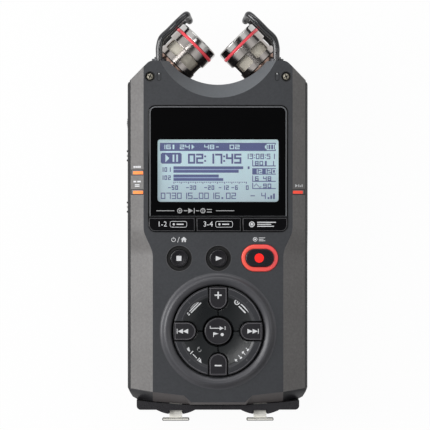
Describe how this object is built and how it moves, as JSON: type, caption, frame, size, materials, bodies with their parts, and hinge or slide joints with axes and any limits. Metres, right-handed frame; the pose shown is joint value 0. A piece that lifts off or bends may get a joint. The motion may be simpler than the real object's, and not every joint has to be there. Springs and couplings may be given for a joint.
{
  "type": "portable digital recorder",
  "caption": "Handheld digital audio recorder with two swivelling microphones behind wire guards, a display, a round control pad and two input sockets.",
  "frame": {"origin": "middle of the footprint on the back face, with the recorder lying on its back", "axes": "+X to the recorder's right as its front panel is read, +Y towards the microphones, +Z out of the front panel"},
  "size_m": [0.0709, 0.1598, 0.0346],
  "materials": {
    "panel": "fine matt grain",
    "black": "satin",
    "window": "polished",
    "display": "satin",
    "amber": "satin",
    "red_lamp": "satin",
    "record_ring": "satin",
    "red_ring": "satin",
    "gunmetal": "polished, warm grey plating",
    "nickel": "polished",
    "mesh": "woven wire",
    "silver": "satin",
    "guard": "semi-gloss",
    "board": "satin",
    "cell": "satin",
    "brass": "satin"
  },
  "bodies": {
    "housing": {"front_shell": "panel", "rear_shell": "panel", "jack_block": "black", "battery_cell_1": "cell", "battery_cell_2": "cell", "battery_contacts": "silver", "main_board": "board", "display_module": "display", "display_window": "window", "record_ring": "record_ring", "pad_collar": "panel", "lamp_left_upper": "amber", "lamp_left_lower": "amber", "lamp_right": "red_lamp", "front_screw_left": "silver", "front_screw_right": "silver", "rear_screw_1": "black", "rear_screw_2": "black", "rear_screw_3": "black", "rear_screw_4": "black", "jack_socket_left": "black", "jack_socket_right": "black", "phones_jack": "black", "tripod_bush": "brass"},
    "microphone_left": {"mic_turret_left": "gunmetal", "mic_guard_left": "guard", "mic_sleeve_left": "gunmetal", "mic_cap_left": "nickel", "mic_red_ring_left": "red_ring", "mic_mesh_drum_left": "mesh"},
    "microphone_right": {"mic_turret_right": "gunmetal", "mic_guard_right": "guard", "mic_sleeve_right": "gunmetal", "mic_cap_right": "nickel", "mic_red_ring_right": "red_ring", "mic_mesh_drum_right": "mesh"},
    "mode_key_left_body": {"mode_key_left": "black"},
    "mode_key_middle_body": {"mode_key_middle": "black"},
    "mode_key_right_body": {"mode_key_right": "black"},
    "stop_button_body": {"stop_button": "black"},
    "play_button_body": {"play_button": "black"},
    "record_button_body": {"record_button": "black"},
    "pad_centre_key_body": {"pad_centre_key": "black"},
    "pad_forward_key_body": {"pad_forward_key": "black"},
    "pad_plus_key_body": {"pad_plus_key": "black"},
    "pad_back_key_body": {"pad_back_key": "black"},
    "pad_minus_key_body": {"pad_minus_key": "black"},
    "pad_corner_key_1_body": {"pad_corner_key_1": "black"},
    "pad_corner_key_2_body": {"pad_corner_key_2": "black"},
    "pad_corner_key_3_body": {"pad_corner_key_3": "black"},
    "pad_corner_key_4_body": {"pad_corner_key_4": "black"},
    "latch_left_body": {"latch_tab_left": "silver"},
    "latch_right_body": {"latch_tab_right": "silver"},
    "hold_switch_body": {"hold_switch": "black"},
    "input_switch_body": {"input_switch": "black"},
    "volume_body": {"volume_wheel": "black"},
    "level_body": {"level_dial": "black"},
    "card_door_body": {"card_door": "black"},
    "battery_cover_body": {"battery_cover": "panel"}
  },
  "joints": [
    {"name": "mic_swivel_left", "type": "hinge", "parent": "housing", "child": "microphone_left", "pos_m": [-0.0229, 0.05042, 0.017], "axis": [0, 1, 0], "range_deg": [0, 180]},
    {"name": "mic_swivel_right", "type": "hinge", "parent": "housing", "child": "microphone_right", "pos_m": [0.0229, 0.05042, 0.017], "axis": [0, 1, 0], "range_deg": [-180, 0]},
    {"name": "mode_key_left_press", "type": "slide", "parent": "housing", "child": "mode_key_left_body", "axis": [0, 0, 1], "range_m": [-0.0006, 0], "stiffness_N_per_m": 400},
    {"name": "mode_key_middle_press", "type": "slide", "parent": "housing", "child": "mode_key_middle_body", "axis": [0, 0, 1], "range_m": [-0.0006, 0], "stiffness_N_per_m": 400},
    {"name": "mode_key_right_press", "type": "slide", "parent": "housing", "child": "mode_key_right_body", "axis": [0, 0, 1], "range_m": [-0.0006, 0], "stiffness_N_per_m": 400},
    {"name": "stop_button_press", "type": "slide", "parent": "housing", "child": "stop_button_body", "axis": [0, 0, 1], "range_m": [-0.0006, 0], "stiffness_N_per_m": 400},
    {"name": "play_button_press", "type": "slide", "parent": "housing", "child": "play_button_body", "axis": [0, 0, 1], "range_m": [-0.0006, 0], "stiffness_N_per_m": 400},
    {"name": "record_button_press", "type": "slide", "parent": "housing", "child": "record_button_body", "axis": [0, 0, 1], "range_m": [-0.0006, 0], "stiffness_N_per_m": 400},
    {"name": "pad_centre_key_press", "type": "slide", "parent": "housing", "child": "pad_centre_key_body", "axis": [0, 0, 1], "range_m": [-0.0005, 0], "stiffness_N_per_m": 400},
    {"name": "pad_forward_key_press", "type": "slide", "parent": "housing", "child": "pad_forward_key_body", "axis": [0, 0, 1], "range_m": [-0.0005, 0], "stiffness_N_per_m": 400},
    {"name": "pad_plus_key_press", "type": "slide", "parent": "housing", "child": "pad_plus_key_body", "axis": [0, 0, 1], "range_m": [-0.0005, 0], "stiffness_N_per_m": 400},
    {"name": "pad_back_key_press", "type": "slide", "parent": "housing", "child": "pad_back_key_body", "axis": [0, 0, 1], "range_m": [-0.0005, 0], "stiffness_N_per_m": 400},
    {"name": "pad_minus_key_press", "type": "slide", "parent": "housing", "child": "pad_minus_key_body", "axis": [0, 0, 1], "range_m": [-0.0005, 0], "stiffness_N_per_m": 400},
    {"name": "pad_corner_key_1_press", "type": "slide", "parent": "housing", "child": "pad_corner_key_1_body", "axis": [0, 0, 1], "range_m": [-0.0005, 0], "stiffness_N_per_m": 400},
    {"name": "pad_corner_key_2_press", "type": "slide", "parent": "housing", "child": "pad_corner_key_2_body", "axis": [0, 0, 1], "range_m": [-0.0005, 0], "stiffness_N_per_m": 400},
    {"name": "pad_corner_key_3_press", "type": "slide", "parent": "housing", "child": "pad_corner_key_3_body", "axis": [0, 0, 1], "range_m": [-0.0005, 0], "stiffness_N_per_m": 400},
    {"name": "pad_corner_key_4_press", "type": "slide", "parent": "housing", "child": "pad_corner_key_4_body", "axis": [0, 0, 1], "range_m": [-0.0005, 0], "stiffness_N_per_m": 400},
    {"name": "latch_left", "type": "slide", "parent": "housing", "child": "latch_left_body", "axis": [0, 1, 0], "range_m": [0, 0.001], "stiffness_N_per_m": 600},
    {"name": "latch_right", "type": "slide", "parent": "housing", "child": "latch_right_body", "axis": [0, 1, 0], "range_m": [0, 0.001], "stiffness_N_per_m": 600},
    {"name": "hold_switch_slide", "type": "slide", "parent": "housing", "child": "hold_switch_body", "axis": [0, 1, 0], "range_m": [-0.0025, 0]},
    {"name": "input_switch_slide", "type": "slide", "parent": "housing", "child": "input_switch_body", "axis": [0, 1, 0], "range_m": [-0.0025, 0]},
    {"name": "volume_turn", "type": "hinge", "parent": "housing", "child": "volume_body", "pos_m": [-0.02855, 0.03637, 0.018], "axis": [0, 0, 1], "range_deg": [-150, 150]},
    {"name": "level_turn", "type": "hinge", "parent": "housing", "child": "level_body", "pos_m": [0.02795, 0.01742, 0.018], "axis": [0, 0, 1], "range_deg": [-150, 150]},
    {"name": "card_door_hinge", "type": "hinge", "parent": "housing", "child": "card_door_body", "pos_m": [0.03455, -0.02358, 0.0143], "axis": [0, 1, 0], "range_deg": [0, 90]},
    {"name": "battery_cover_hinge", "type": "hinge", "parent": "housing", "child": "battery_cover_body", "pos_m": [0, 0.01342, 0.001], "axis": [1, 0, 0], "range_deg": [0, 90]}
  ]
}
